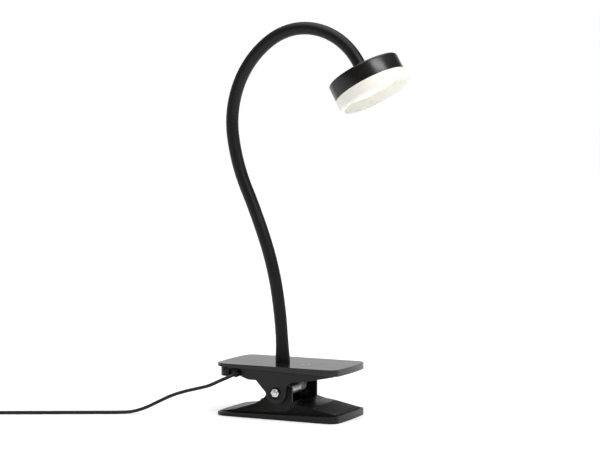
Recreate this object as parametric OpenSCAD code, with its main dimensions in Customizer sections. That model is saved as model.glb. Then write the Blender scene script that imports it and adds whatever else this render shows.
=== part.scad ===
// Clip-on LED reading lamp: a sprung two-jaw clamp, a bendable gooseneck and a round light head.
// X runs from the handles to the jaw tips, Y across the clamp, Z up. The origin lies on the
// underside of the clamp, straight below the foot of the neck.

/* [Clamp] */
// Length of the two clamp plates
plate_l = 139; // [137:1:144]
// Width of the two clamp plates
plate_w = 77; // [74:1:90]
// Corner radius of the plates
plate_r = 13; // [8:1:18]
// Thickness of a plate's edge at the handle end
rim_handle = 3.3; // [3:0.1:4]
// Thickness of a plate's edge at the jaw end
rim_tip = 6.9; // [6:0.1:8]
// Height of the clamp at the stored opening
clamp_h = 54; // [54:0.5:56]
// Distance from the neck back to the handle end
handle_reach = 60.5; // [60:0.5:63]
// Distance from the neck forward to the pivot
pivot_x = 9; // [8.5:0.1:9.5]
// Diameter of the pivot bolt
bolt_d = 5; // [4:0.5:6]
// Wire diameter of the torsion spring
spring_wire_d = 2.2; // [1.6:0.1:2.4]
// Turns of the torsion spring
spring_turns = 7; // [4:1:8]

/* [Neck] */
// Outer diameter of the rubber sleeve
neck_d = 12.9; // [11.4:0.1:13]
// Length of each of the eight bending zones
zone_l = 57; // [50:0.5:62]
// Lean of the neck's foot, backwards
neck_lean = 2; // [0:0.5:4]
// Height of the flared collar on the clamp
foot_h = 12; // [10:0.5:14]
// Length of the flared collar on the head
crown_h = 8; // [8:0.5:12]

/* [Head] */
// Diameter of the light head
head_d = 76; // [76:1:84]
// Height of the metal cap
cap_h = 17.1; // [16:0.1:19]
// Height of the frosted ring
ring_h = 13; // [12.5:0.1:16]
// Depth of the lit panel inside the ring
recess_h = 10; // [8:0.5:10]
// Number of light-emitting diodes on the outer circle
led_count = 12; // [8:1:16]

/* [Cord] */
// Diameter of the cord
cord_d = 3.5; // [3:0.1:3.5]
// Turns of stored cord side by side in the coil
coil_wide = 4; // [3:1:5]
// Layers of stored cord in the coil
coil_high = 2; // [2:2:4]
// Mean radius of the coil
coil_r = 23; // [21:1:26]

/* [Hidden] */

$fn = 64;
eps = 0.01;
black = [0.10, 0.10, 0.11];
rubber = [0.07, 0.07, 0.08];
steel = [0.75, 0.76, 0.78];
brass = [0.80, 0.68, 0.36];
board_green = [0.10, 0.32, 0.20];
opal = [0.96, 0.95, 0.91];

// ---- clamp ----
plate_mid = plate_l / 2 - handle_reach;
tip_x = plate_l - handle_reach;
bow_r = 300;
pivot_z = clamp_h / 2;
wall = 2.4;
lip = 3.5;
skin = 2.4;
body_w = plate_w - 2 * lip;
ear_t = 3.4;
ear_r = 11.4;
lower_ear_r = 10.4;
lower_ear_t = 2.6;
table_stop_x = 25;
ear_slot_w = 3.7;
washer_t = 0.6;
lower_w = body_w - 2 * ear_t - 2 * (washer_t + 0.2);
nut_recess_r = 5.9;
nut_recess_h = 1.4;
bore_gap = 0.05;
screw_r = 1.5;
screw_head_r = 2.8;
skirt_z = clamp_h - 13.4;
floor_z = skirt_z + 2.2;
throat_z = clamp_h - 15.5;
pad_x0 = 47;
pad_x1 = 69;
pad_w = 52;
pad_t = 1.8;
pad_sunk = 1.2;
jaw_root = [46, 13.1];
cover_screw_at = [[-50, 25], [-50, -25], [16, 24], [16, -24]];
lower_screw_at = [[-24, 19], [-24, -19], [52, 19], [52, -19]];
notch_x = -37;
notch_w = 15;
notch_top = clamp_h - 4.6;
board_l = 38;
board_w = 46;
board_x = 28;
board_z = clamp_h - 8.4;
board_t = 1.6;
contact_x = 31;
contact_y = -9;

// Thickness of a plate's edge at the distance x from the neck.
function rim_t(x) = rim_handle + (rim_tip - rim_handle) * (x + handle_reach) / plate_l;

// ---- neck ----
bends = [-7, -10.5, -5, 16.5, 31.5, 33, 48.5, 46];
core_r = 4.4;
core_bore_r = 2.4;
core_gap = 3;
sleeve_ri = core_r + 0.3;
sleeve_gap = 0.03;
foot_flare_r = 7.5;
crown_flare_r = 8.5;

// Heading of the neck at the start of zone k, in degrees from straight up towards +X.
function heading(k) = k == 0 ? -neck_lean : heading(k - 1) + bends[k - 1];

// Radius of zone k, negative where it curves towards -X.
function zone_r(k) = zone_l / (bends[k] * PI / 180);

// Point on the neck's centre line at the start of zone k.
function zone_at(k) = k == 0
    ? [-foot_h * sin(neck_lean), 0, clamp_h + foot_h * cos(neck_lean)]
    : zone_at(k - 1) + zone_r(k - 1) * [
        cos(heading(k - 1)) - cos(heading(k)),
        0,
        sin(heading(k)) - sin(heading(k - 1))
    ];

// ---- head, measured along its axis from the end of the last zone ----
cap_z = crown_h;
ring_z = cap_z + cap_h;
head_end = ring_z + ring_h;
head_r = head_d / 2;
cap_r = head_r - 0.3;
cap_wall = 2;
ring_wall = 3.6;
ring_ledge = 1.4;
spigot_h = 3.2;
panel_t = 1.6;
panel_z = head_end - recess_h - panel_t;
panel_r = head_r - ring_wall - 0.1;
sink_z = cap_z + 8.7;
sink_t = 2.5;
sink_r = 33.5;
sink_screw_r = 26;
led_board_t = 1.6;
led_board_r = 31;
led_ring_r = 22;

// ---- cord ----
cord_r = cord_d / 2;
cord_z = cord_r + 0.05;
// Route of the cord from the strain relief down to the floor and along it, to the coil.
cord_route = [
    [-36, -38.5, 43.3], [-37.5, -43, 42.4], [-41, -46.5, 40.6], [-48, -48.6, 37.3],
    [-60, -49.8, 31.8], [-72, -51, 28.4], [-85, -53, 25], [-100, -56, 19.8],
    [-115, -60, 12.4], [-128, -64, 6],
    [-140, -69, cord_z + 0.6], [-150, -74, cord_z], [-170, -84, cord_z], [-190, -94, cord_z],
    [-210, -104, cord_z], [-230, -114, cord_z], [-250, -124, cord_z], [-270, -134, cord_z],
    [-285, -141.5, cord_z], [-300, -149, cord_z]
];
coil_side = [-1, 2, 0] / sqrt(5);
coil_outer_r = coil_r + coil_wide * cord_d / 2;
coil_at = cord_route[len(cord_route) - 1] + (coil_outer_r - cord_r) * coil_side;
tail_z = cord_z + (coil_high - 1) * cord_d;
plug_at = [-344, -171, 4];
cord_end_route = [
    [-300, -149, tail_z], [-310, -154, tail_z], [-322, -160, 4.8], [-334, -166, 4.1], plug_at
];
relief_h = 12;
grip_l = 26;
shell_l = 12;

// ---- helpers ----
function unit(v) = v / norm(v);

function along(p, i) = unit(p[min(i + 1, len(p) - 1)] - p[max(i - 1, 0)]);

// A round tube through the points of a path. level is a direction the path never runs along.
module tube(path, r, sides = 8, level = [0, 0, 1]) {
    n = len(path);
    rings = [
        for (i = [0 : n - 1])
            let (t = along(path, i), a = unit(cross(t, level)), b = cross(a, t))
                for (j = [0 : sides - 1])
                    path[i] + r * (cos(j * 360 / sides) * a + sin(j * 360 / sides) * b)
    ];
    sides_faces = [
        for (i = [0 : n - 2], j = [0 : sides - 1])
            let (k = (j + 1) % sides)
                [i * sides + j, (i + 1) * sides + j, (i + 1) * sides + k, i * sides + k]
    ];
    first = [for (j = [0 : sides - 1]) j];
    last = [for (j = [sides - 1 : -1 : 0]) (n - 1) * sides + j];
    polyhedron(points = rings, faces = concat(sides_faces, [first, last]));
}

// Children drawn along +Z, turned so that +Z runs from point a to point b.
module pointing(a, b) {
    d = b - a;
    translate(a) rotate([0, acos(d[2] / norm(d)), atan2(d[1], d[0])]) children();
}

module rounded_rect(l, w, r) {
    square([l - 2 * r, w], center = true);
    square([l, w - 2 * r], center = true);
    for (x = [-1, 1], y = [-1, 1])
        translate([x * (l / 2 - r), y * (w / 2 - r)]) circle(r = r);
}

// Outline of a clamp plate seen from above, with its ends slightly bowed.
module plate_plan(inset) {
    l = plate_l - 2 * inset;
    translate([plate_mid, 0]) intersection() {
        rounded_rect(l, plate_w - 2 * inset, plate_r - inset);
        translate([bow_r - l / 2, 0]) circle(r = bow_r, $fn = 360);
        translate([l / 2 - bow_r, 0]) circle(r = bow_r, $fn = 360);
    }
}

// A side profile, points as [x, z], run across the clamp from y0 to y1.
module across(points, y0, y1)
    translate([0, y1, 0]) rotate([90, 0, 0]) linear_extrude(y1 - y0) polygon(points);

module pivot_rod(r, y0, y1)
    translate([pivot_x, y1, pivot_z]) rotate([90, 0, 0]) cylinder(r = r, h = y1 - y0);

module at_zone(k) translate(zone_at(k)) rotate([0, heading(k), 0]) children();

module at_head() at_zone(8) children();

// Part of zone k from fraction a to fraction b of its bend, as a curved tube.
module bend_tube(k, a, b, ro, ri) {
    r = zone_r(k);
    turn = abs(bends[k]) * (b - a);
    from = r > 0 ? 180 - abs(bends[k]) * b : abs(bends[k]) * a;
    at_zone(k) translate([r, 0, 0]) rotate([90, 0, 0]) rotate([0, 0, from])
        rotate_extrude(angle = turn, $fn = 128) translate([abs(r), 0]) difference() {
            circle(r = ro, $fn = 48);
            circle(r = ri, $fn = 48);
        }
}

// ---- upper half of the clamp ----
// Side outline of the upper jaw with its round ears.
module upper_outline() {
    polygon([
        [-75, clamp_h], [-75, skirt_z], [-28, skirt_z], [-22.5, throat_z], [-13.5, throat_z],
        [pivot_x - ear_r + 0.05, pivot_z - 0.5], [pivot_x, pivot_z - 5], [pivot_x + ear_r - 0.4, pivot_z],
        [pivot_x + 11.6, pivot_z + 4.5], [22.5, clamp_h - 18], [26, clamp_h - 15.8],
        [33, clamp_h - 14.8], [jaw_root[0], clamp_h - jaw_root[1]],
        [tip_x, clamp_h - rim_t(tip_x) + 0.7], [tip_x, clamp_h]
    ]);
    translate([pivot_x, pivot_z]) circle(r = ear_r);
}

module upper_jaw() {
    color(black) difference() {
        union() {
            difference() {
                intersection() {
                    translate([0, body_w / 2, 0]) rotate([90, 0, 0])
                        linear_extrude(body_w) upper_outline();
                    linear_extrude(clamp_h) plate_plan(lip);
                    across([
                        [-75, 0], [tip_x, 0], [tip_x, clamp_h - rim_t(tip_x)],
                        [-75, clamp_h - rim_t(-75)]
                    ], -body_w, body_w);
                }
                intersection() {
                    linear_extrude(clamp_h + 2) plate_plan(lip + wall);
                    across([
                        [-75, floor_z], [-28, floor_z], [-23, skirt_z + 0.1],
                        [34, skirt_z + 0.1], [jaw_root[0], clamp_h - 10.8], [64, clamp_h - 7.1],
                        [64, clamp_h + 1], [-75, clamp_h + 1]
                    ], -body_w, body_w);
                }
                translate([-14, ear_t - body_w / 2, 0])
                    cube([35.5, body_w - 2 * ear_t, throat_z + 0.4]);
                for (y = [-body_w / 2 + ear_t, lower_w / 2 - lower_ear_t - 0.3])
                    translate([-14, y, 0]) cube([41.5, ear_slot_w, throat_z + 2.9]);
            }
            for (p = [[12, 18], [12, -18], [31, 18], [31, -18]])
                translate([p[0], p[1], skirt_z - 0.4]) cylinder(r = 2, h = board_z - skirt_z + 0.4);
        }
        for (p = cover_screw_at) {
            translate([p[0], p[1], 0]) cylinder(r = screw_r + 0.2, h = clamp_h);
            translate([p[0], p[1], 0])
                cylinder(r = screw_head_r + 0.3, h = (p[0] < -29 ? skirt_z : throat_z + 0.4) + 0.8);
        }
        across([
            [pad_x0, clamp_h - 20], [pad_x1, clamp_h - 20],
            pad_line(pad_x1, pad_sunk), pad_line(pad_x0, pad_sunk)
        ], -pad_w / 2, pad_w / 2);
        translate([notch_x, -body_w / 2 + 6.2, 0]) rotate([90, 0, 0])
            linear_extrude(10) notch_outline(0);
        pivot_rod(bolt_d / 2 + bore_gap, -body_w, body_w);
        pivot_rod(nut_recess_r, -body_w, -body_w / 2 + nut_recess_h);
        pivot_rod(nut_recess_r, body_w / 2 - nut_recess_h, body_w);
        for (x = [-44.5, -29.5])
            translate([x, -20, 0]) cylinder(r = 1, h = clamp_h);
    }
}

// Point on the upper jaw's gripping face at x, raised into the jaw by depth.
function pad_line(x, depth) =
    let (a = [jaw_root[0], clamp_h - jaw_root[1]], b = [tip_x, clamp_h - rim_t(tip_x) + 0.7])
        [x, a[1] + (x - a[0]) * (b[1] - a[1]) / (b[0] - a[0]) + depth];

// Arched opening for the cord in the near side wall, seen from the side.
module notch_outline(inset) {
    w = notch_w - 2 * inset;
    r = 5 - inset;
    translate([-w / 2, 0]) square([w, notch_top - inset - r]);
    translate([-w / 2 + r, 0]) square([w - 2 * r, notch_top - inset]);
    for (x = [-1, 1])
        translate([x * (w / 2 - r), notch_top - inset - r]) circle(r = r);
}

module top_cover() {
    color(black) difference() {
        union() {
            difference() {
                intersection() {
                    linear_extrude(clamp_h) plate_plan(0);
                    across([
                        [-75, clamp_h], [-75, clamp_h - rim_t(-75)],
                        [90, clamp_h - rim_t(90)], [90, clamp_h]
                    ], -plate_w, plate_w);
                }
                linear_extrude(clamp_h - skin) plate_plan(lip + wall + 0.3);
            }
            for (p = cover_screw_at)
                translate([p[0], p[1], floor_z + 0.4]) cylinder(r = 3, h = clamp_h - skin - floor_z);
        }
        translate([0, 0, clamp_h - 15]) cylinder(r = 5.1, h = 20);
        for (p = cover_screw_at)
            translate([p[0], p[1], 0]) cylinder(r = screw_r + bore_gap, h = clamp_h - skin);
    }
}

module cover_screws() {
    color(steel) for (p = cover_screw_at) {
        z0 = (p[0] < -29 ? skirt_z : throat_z + 0.4) - 0.9;
        translate([p[0], p[1], z0]) difference() {
            union() {
                cylinder(r = screw_head_r, h = 1.7);
                cylinder(r = screw_r, h = 9);
            }
            translate([0, 0, -eps]) cylinder(r = 1.3, h = 1, $fn = 6);
        }
    }
}

module upper_pad() {
    color(rubber) across([
        pad_line(pad_x0 + 0.2, pad_sunk - pad_t), pad_line(pad_x1 - 0.2, pad_sunk - pad_t),
        pad_line(pad_x1 - 0.2, pad_sunk - 0.02), pad_line(pad_x0 + 0.2, pad_sunk - 0.02)
    ], -pad_w / 2 + 0.2, pad_w / 2 - 0.2);
}

module touch_board() {
    color(board_green) difference() {
        translate([board_x - board_l / 2, -board_w / 2, board_z + 0.02])
            cube([board_l, board_w, board_t]);
        for (p = cover_screw_at)
            translate([p[0], p[1], 0]) cylinder(r = 3.4, h = clamp_h);
    }
}

module board_parts() {
    top = board_z + board_t + 0.04;
    color([0.2, 0.2, 0.22]) {
        translate([board_x - 4, 2, top]) cube([7, 6, 1.2]);
        translate([board_x - 14, -6, top]) cube([5, 8, 2.2]);
        translate([board_x + 8, 10, top]) cylinder(r = 2.5, h = 2.6);
        for (i = [0 : 4])
            translate([board_x - 12 + 4 * i, 14, top]) cube([2, 1.2, 0.8]);
    }
}

module touch_contact() {
    low = board_z + board_t + 0.04;
    top = clamp_h - skin - 0.02;
    color(brass) translate([contact_x, contact_y, 0]) {
        translate([0, 0, top - 0.4]) cylinder(r = 6, h = 0.4);
        translate([0, 0, low]) cylinder(r = 1.5, h = top - 0.4 - low + eps);
    }
}

// Strain relief: a moulded block that fills the notch, with a ribbed nose along the cord.
module cord_bush() {
    exit = cord_route[0];
    lead = unit(cord_route[1] - cord_route[0]);
    inner = exit - 9 * lead;
    color(rubber) {
        translate([notch_x, -body_w / 2 + 6, 0]) rotate([90, 0, 0])
            linear_extrude(4) intersection() {
                notch_outline(0.1);
                translate([-20, floor_z + 0.1]) square([40, 20]);
            }
        translate([notch_x - notch_w / 2 - 2, -body_w / 2 + wall + 0.2, floor_z + 0.1])
            cube([notch_w + 4, 1.2, 5.6]);
        pointing(inner, exit) cylinder(r = 2.7, h = 9);
        for (i = [0 : 2])
            pointing(exit - (2 + 2.2 * i) * lead, exit) cylinder(r = 3.3, h = 1.1);
    }
}

module cord_clip() {
    color(black) difference() {
        translate([-47, -22.5, floor_z + 4.2]) cube([20, 5, 2.4]);
        for (x = [-44.5, -29.5])
            translate([x, -20, 0]) cylinder(r = 1.1, h = clamp_h);
    }
}

module clip_screws() {
    color(steel) for (x = [-44.5, -29.5])
        translate([x, -20, floor_z - 1.8]) {
            cylinder(r = 0.95, h = 8.5);
            translate([0, 0, 8.45]) cylinder(r = 0.95 * 1.8, h = 0.55);
        }
}

// The cord's inner end, from the strain relief under the clip to the circuit board.
module cord_lead() {
    color(rubber) tube([
        [-36.6, -27.6, floor_z + 2.2], [-37, -24, floor_z + 2.2], [-37, -16, floor_z + 2.2],
        [-34, -11, floor_z + 2.2], [-26, -9, floor_z + 2.1], [-14, -9, floor_z + 1.5],
        [-2, -9, floor_z + 1], [8, -9, floor_z + 1]
    ], 1.4);
}

// ---- pivot ----
module pivot_bolt() {
    head_y = body_w / 2 - nut_recess_h;
    color(steel) {
        pivot_rod(bolt_d / 2, -body_w / 2 - 3, head_y + eps);
        difference() {
            pivot_rod(4.6, head_y, head_y + 3);
            translate([pivot_x, head_y + 3.1, pivot_z]) rotate([90, 0, 0])
                cylinder(r = 1.7, h = 1.8, $fn = 6);
        }
    }
}

module pivot_nut() {
    color(steel) difference() {
        translate([pivot_x, -body_w / 2 + nut_recess_h, pivot_z]) rotate([90, 0, 0])
            cylinder(r = 8 / sqrt(3), h = 3.4, $fn = 6);
        pivot_rod(bolt_d / 2 + 0.02, -body_w, body_w);
    }
}

module pivot_washers() {
    y = body_w / 2 - ear_t;
    color([0.85, 0.85, 0.8]) difference() {
        for (side = [-1, 1])
            pivot_rod(6.5, side * (y - 0.1 - washer_t / 2) - washer_t / 2,
                side * (y - 0.1 - washer_t / 2) + washer_t / 2);
        pivot_rod(bolt_d / 2 + bore_gap, -body_w, body_w);
    }
}

module spring_bush() {
    color([0.85, 0.85, 0.8]) difference() {
        pivot_rod(5.2, -lower_w / 2 + lower_ear_t + 0.5, lower_w / 2 - lower_ear_t - 0.5);
        pivot_rod(bolt_d / 2 + bore_gap, -body_w, body_w);
    }
}

module jaw_spring() {
    r = 7.2;
    pitch = spring_wire_d + 0.5;
    start = -spring_turns * pitch / 2;
    steps = 12;
    coil = [
        for (i = [0 : spring_turns * steps + steps / 2])
            let (a = 90 + 360 * i / steps)
                [pivot_x + r * cos(a), start + pitch * i / steps, pivot_z + r * sin(a)]
    ];
    upper_arm = [[-21, start, throat_z - 1.5], [-14, start, throat_z - 2], [0, start, pivot_z + r + 0.6]];
    end_y = coil[len(coil) - 1][1];
    lower_arm = [[0, end_y, pivot_z - r - 0.8], [-13, end_y, 17.2], [-20, end_y, 14.6]];
    backwards = [for (i = [len(coil) - 1 : -1 : 0]) coil[i]];
    color(steel) tube(concat(
        [for (i = [2 : -1 : 0]) mirror_y(lower_arm[i])],
        [for (p = backwards) mirror_y(p)],
        [for (i = [2 : -1 : 0]) mirror_y(upper_arm[i])]
    ), spring_wire_d / 2, 8, [0, 1, 0]);
}

function mirror_y(p) = [p[0], -p[1], p[2]];

// ---- lower half of the clamp ----
module lower_ear(side) {
    y0 = side > 0 ? lower_w / 2 - lower_ear_t : -lower_w / 2;
    across([
        [-14, 12], [-16.3, 14.1], [-6.8, 19.9], [pivot_x - 11.4, pivot_z - 0.9],
        [pivot_x, pivot_z + 5], [pivot_x + 7.5, pivot_z + 6.4], [table_stop_x, pivot_z + 6.4],
        [table_stop_x, 16], [27, 16], [27, 8], [-14, 5]
    ], y0, y0 + lower_ear_t);
    pivot_rod(lower_ear_r, y0, y0 + lower_ear_t);
}

module lower_jaw() {
    color(black) difference() {
        union() {
            difference() {
                intersection() {
                    across([
                        [-59, rim_t(-59)], [-40, 6.4], [-16.3, 14.1], [-11, 15.6], [-6, 10],
                        [1, 7.2], [17, 7.2], [21.5, 10], [23.5, 17.4], [33, 14.8], jaw_root,
                        [77.5, rim_t(77.5)]
                    ], -lower_w / 2, lower_w / 2);
                    linear_extrude(clamp_h) plate_plan(lip);
                }
                across([
                    [-46, 0], [-46, rim_t(-46) + 0.1], [-40, rim_t(-40) + 0.2], [-17, 11.6],
                    [-11.8, 12.9], [-8, 8], [0, 4.8], [18, 4.8], [23.6, 8.6], [25.2, 14.4],
                    [33, 12.4], [46, 10.7], [62, 7.5], [62, 0]
                ], -lower_w / 2 + lower_ear_t, lower_w / 2 - lower_ear_t);
            }
            lower_ear(1);
            lower_ear(-1);
            for (p = lower_screw_at)
                translate([p[0], p[1], skin + 0.05]) cylinder(r = 3, h = 7.2);
        }
        for (p = lower_screw_at)
            translate([p[0], p[1], 0]) cylinder(r = screw_r + bore_gap, h = 8.5);
        mirror_up() across([
            [pad_x0, clamp_h - 20], [pad_x1, clamp_h - 20],
            pad_line(pad_x1, pad_sunk), pad_line(pad_x0, pad_sunk)
        ], -pad_w / 2, pad_w / 2);
        pivot_rod(bolt_d / 2 + bore_gap, -body_w, body_w);
    }
}

// Children turned over about the clamp's middle height.
module mirror_up() translate([0, 0, clamp_h]) mirror([0, 0, 1]) children();

module lower_plate() {
    color(black) difference() {
        intersection() {
            linear_extrude(clamp_h) plate_plan(0);
            across([
                [-75, 0], [90, 0], [90, rim_t(90)], [-75, rim_t(-75)]
            ], -plate_w, plate_w);
        }
        translate([0, 0, skin]) linear_extrude(clamp_h)
            translate([8, 0]) square([104, lower_w - 2 * lower_ear_t - 0.4], center = true);
        for (p = lower_screw_at) {
            translate([p[0], p[1], -1]) cylinder(r = screw_r + 0.2, h = clamp_h);
            translate([p[0], p[1], -1]) cylinder(r = screw_head_r + 0.3, h = 2.3);
        }
    }
}

module lower_screws() {
    color(steel) for (p = lower_screw_at)
        translate([p[0], p[1], 0.2]) difference() {
            union() {
                cylinder(r = screw_head_r, h = 1.1);
                cylinder(r = screw_r, h = 7.6);
            }
            translate([0, 0, -eps]) cylinder(r = 1.3, h = 0.7, $fn = 6);
        }
}

module lower_pad() {
    color(rubber) mirror_up() across([
        pad_line(pad_x0 + 0.2, pad_sunk - pad_t), pad_line(pad_x1 - 0.2, pad_sunk - pad_t),
        pad_line(pad_x1 - 0.2, pad_sunk - 0.02), pad_line(pad_x0 + 0.2, pad_sunk - 0.02)
    ], -pad_w / 2 + 0.2, pad_w / 2 - 0.2);
}

// ---- neck ----
module on_foot() translate([0, 0, clamp_h]) rotate([0, -neck_lean, 0]) children();

module neck_foot_ferrule() {
    color(brass) difference() {
        union() {
            translate([0, 0, clamp_h - 9]) cylinder(r = 4.9, h = 9 + eps);
            translate([0, 0, clamp_h]) cylinder(r = 6.4, h = 1);
            on_foot() cylinder(r = 5.2, h = 9);
        }
        translate([0, 0, clamp_h - 10]) cylinder(r = core_bore_r, h = 14);
        on_foot() translate([0, 0, 3]) cylinder(r = core_r + 0.02, h = 10);
    }
}

module neck_foot_nut() {
    color(steel) difference() {
        translate([0, 0, clamp_h - skin - 4.02]) cylinder(r = 8, h = 4, $fn = 6);
        cylinder(r = 4.92, h = clamp_h);
    }
}

module neck_foot_collar() {
    color(rubber) difference() {
        on_foot() translate([0, 0, -1])
            cylinder(r1 = foot_flare_r + 0.1, r2 = neck_d / 2, h = foot_h + 1);
        cylinder(r = 20, h = clamp_h + 0.02);
        translate([0, 0, clamp_h - 1]) cylinder(r = 6.5, h = 2.1);
        on_foot() translate([0, 0, -2]) cylinder(r = 5.3, h = 11.2);
        on_foot() cylinder(r = core_r + 0.1, h = 30);
    }
}

// Core link k: a stiff length of the wound steel tube between two bending points, with a
// crimped band at the middle of the link.
module neck_core(k) {
    half = core_gap / zone_l;
    split = 0.15 / zone_l;
    color(steel) {
        at_zone(k) difference() {
            cylinder(r = core_r + 0.1, h = 2, center = true);
            cylinder(r = core_bore_r - 0.1, h = 4, center = true);
        }
        if (k == 0) {
            on_foot() translate([0, 0, 3.2]) difference() {
                cylinder(r = core_r, h = foot_h - 3.35);
                translate([0, 0, -1]) cylinder(r = core_bore_r, h = 20);
            }
        }
        if (k > 0) bend_tube(k - 1, 0.5 + half, 1 - split, core_r, core_bore_r);
        if (k < 8) bend_tube(k, split, 0.5 - half, core_r, core_bore_r);
        if (k == 8) {
            at_head() translate([0, 0, 0.15]) difference() {
                cylinder(r = core_r, h = crown_h - 3.2);
                translate([0, 0, -1]) cylinder(r = core_bore_r, h = 20);
            }
        }
    }
}

module neck_core_0() neck_core(0);
module neck_core_1() neck_core(1);
module neck_core_2() neck_core(2);
module neck_core_3() neck_core(3);
module neck_core_4() neck_core(4);
module neck_core_5() neck_core(5);
module neck_core_6() neck_core(6);
module neck_core_7() neck_core(7);
module neck_core_8() neck_core(8);

// Sleeve k: the length of rubber sleeve over bending zone k, counted from 1.
module neck_sleeve(k)
    color(rubber) bend_tube(k - 1, sleeve_gap / zone_l, 1 - sleeve_gap / zone_l, neck_d / 2, sleeve_ri);

module neck_sleeve_1() neck_sleeve(1);
module neck_sleeve_2() neck_sleeve(2);
module neck_sleeve_3() neck_sleeve(3);
module neck_sleeve_4() neck_sleeve(4);
module neck_sleeve_5() neck_sleeve(5);
module neck_sleeve_6() neck_sleeve(6);
module neck_sleeve_7() neck_sleeve(7);
module neck_sleeve_8() neck_sleeve(8);

module neck_crown_collar() {
    color(rubber) at_head() difference() {
        translate([0, 0, 0.02]) cylinder(r1 = neck_d / 2, r2 = crown_flare_r, h = crown_h - 0.04);
        translate([0, 0, -1]) cylinder(r = core_r + 0.1, h = 20);
        translate([0, 0, crown_h - 6.2]) cylinder(r = 5.4, h = 20);
    }
}

module neck_crown_ferrule() {
    color(brass) at_head() difference() {
        union() {
            translate([0, 0, crown_h - 6]) cylinder(r = 5.3, h = 6);
            translate([0, 0, crown_h]) cylinder(r = 4.9, h = 8);
        }
        translate([0, 0, crown_h - 7]) cylinder(r = core_r + 0.02, h = 4.1);
        cylinder(r = core_bore_r, h = 30);
    }
}

module neck_crown_nut() {
    color(steel) at_head() difference() {
        translate([0, 0, cap_z + cap_wall + 0.02]) cylinder(r = 8, h = 3.5, $fn = 6);
        cylinder(r = 4.92, h = 40);
    }
}

// ---- head ----
module head_cap() {
    edge = 2;
    color(black) at_head() difference() {
        union() {
            translate([0, 0, cap_z]) rotate_extrude($fn = 128) difference() {
                union() {
                    square([cap_r - edge, cap_h]);
                    translate([0, edge]) square([cap_r, cap_h - edge]);
                    translate([cap_r - edge, edge]) circle(r = edge);
                }
                translate([-10, -10]) square([10, 40]);
                translate([0, cap_wall]) square([cap_r - cap_wall, cap_h]);
            }
            for (a = [60 : 120 : 300])
                rotate([0, 0, a]) translate([sink_screw_r, 0, cap_z + cap_wall - 0.1])
                    cylinder(r = 3, h = sink_z - cap_z - cap_wall + 0.08);
        }
        translate([0, 0, cap_z - 1]) cylinder(r = 5, h = 5);
        for (a = [60 : 120 : 300])
            rotate([0, 0, a]) translate([sink_screw_r, 0, cap_z + cap_wall])
                cylinder(r = screw_r + bore_gap, h = 30);
    }
}

module heat_sink() {
    color([0.8, 0.8, 0.82]) at_head() difference() {
        translate([0, 0, sink_z]) cylinder(r = sink_r, h = sink_t, $fn = 128);
        translate([0, 0, sink_z - 1]) cylinder(r = 4, h = 10);
        for (a = [60 : 120 : 300])
            rotate([0, 0, a]) translate([sink_screw_r, 0, 0]) cylinder(r = screw_r + 0.1, h = 40);
    }
}

module heat_sink_screws() {
    board_top = sink_z + sink_t + 0.02 + led_board_t;
    shank_z = cap_z + cap_wall + 2;
    color(steel) at_head() for (a = [60 : 120 : 300])
        rotate([0, 0, a]) translate([sink_screw_r, 0, 0]) difference() {
            union() {
                translate([0, 0, shank_z]) cylinder(r = screw_r, h = board_top - shank_z + 0.5);
                translate([0, 0, board_top + 0.02]) cylinder(r = 2.6, h = 1.2);
            }
            translate([0, 0, board_top + 0.6]) cylinder(r = 1.2, h = 2, $fn = 6);
        }
}

module led_board() {
    z = sink_z + sink_t + 0.02;
    color([0.95, 0.95, 0.95]) at_head() difference() {
        translate([0, 0, z]) cylinder(r = led_board_r, h = led_board_t, $fn = 128);
        translate([0, 0, z - 1]) cylinder(r = 3, h = 10);
        for (a = [60 : 120 : 300])
            rotate([0, 0, a]) translate([sink_screw_r, 0, 0]) cylinder(r = screw_r + 0.1, h = 40);
    }
}

module led_chips() {
    z = sink_z + sink_t + 0.04 + led_board_t;
    color([1, 0.9, 0.5]) at_head() {
        for (i = [0 : led_count - 1])
            rotate([0, 0, 15 + i * 360 / led_count]) translate([led_ring_r - 1.4, -1.75, z])
                cube([2.8, 3.5, 0.8]);
        for (i = [0 : 5])
            rotate([0, 0, i * 60]) translate([9, -1.75, z]) cube([2.8, 3.5, 0.8]);
    }
}

module light_panel() {
    color([1, 1, 0.97]) at_head() translate([0, 0, panel_z])
        cylinder(r = panel_r, h = panel_t, $fn = 128);
}

module light_ring() {
    edge = 3;
    inner_edge = 1;
    ri = head_r - ring_wall;
    spigot_r = cap_r - cap_wall - 0.05;
    color(opal) at_head() rotate_extrude($fn = 128) difference() {
        union() {
            translate([ri - ring_ledge, ring_z - spigot_h])
                square([spigot_r - ri + ring_ledge, spigot_h + 1]);
            translate([ri - ring_ledge, ring_z + 0.02])
                square([head_r - ri + ring_ledge, ring_h - edge]);
            translate([ri + inner_edge, ring_z + 0.02])
                square([ring_wall - edge - inner_edge + 0.5, ring_h - 0.02]);
            translate([head_r - edge, head_end - edge]) circle(r = edge);
            translate([ri + inner_edge, head_end - inner_edge]) circle(r = inner_edge);
        }
        translate([ri - 10, panel_z - 0.02]) square([10, 40]);
    }
}

// ---- cord, its stored coil and its plug ----
module cord() color(rubber) tube(cord_route, cord_r);

module cord_coil() {
    color(rubber) translate([coil_at[0], coil_at[1], 0.02]) rotate_extrude($fn = 96)
        translate([coil_r - coil_wide * cord_d / 2, 0])
            square([coil_wide * cord_d, coil_high * cord_d]);
}

module cord_end() color(rubber) tube(cord_end_route, cord_r);

module at_plug() translate(plug_at) rotate([0, 0, atan2(-1, -2)]) children();

module plug_relief() {
    color(rubber) at_plug() rotate([0, 90, 0])
        cylinder(r1 = cord_r + 0.4, r2 = 3.2, h = relief_h);
}

module plug_grip() {
    color(rubber) at_plug() translate([relief_h + 0.02 + grip_l / 2, 0, -4 + 0.05])
        linear_extrude(7.9) rounded_rect(grip_l, 15.5, 2.5);
}

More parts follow.
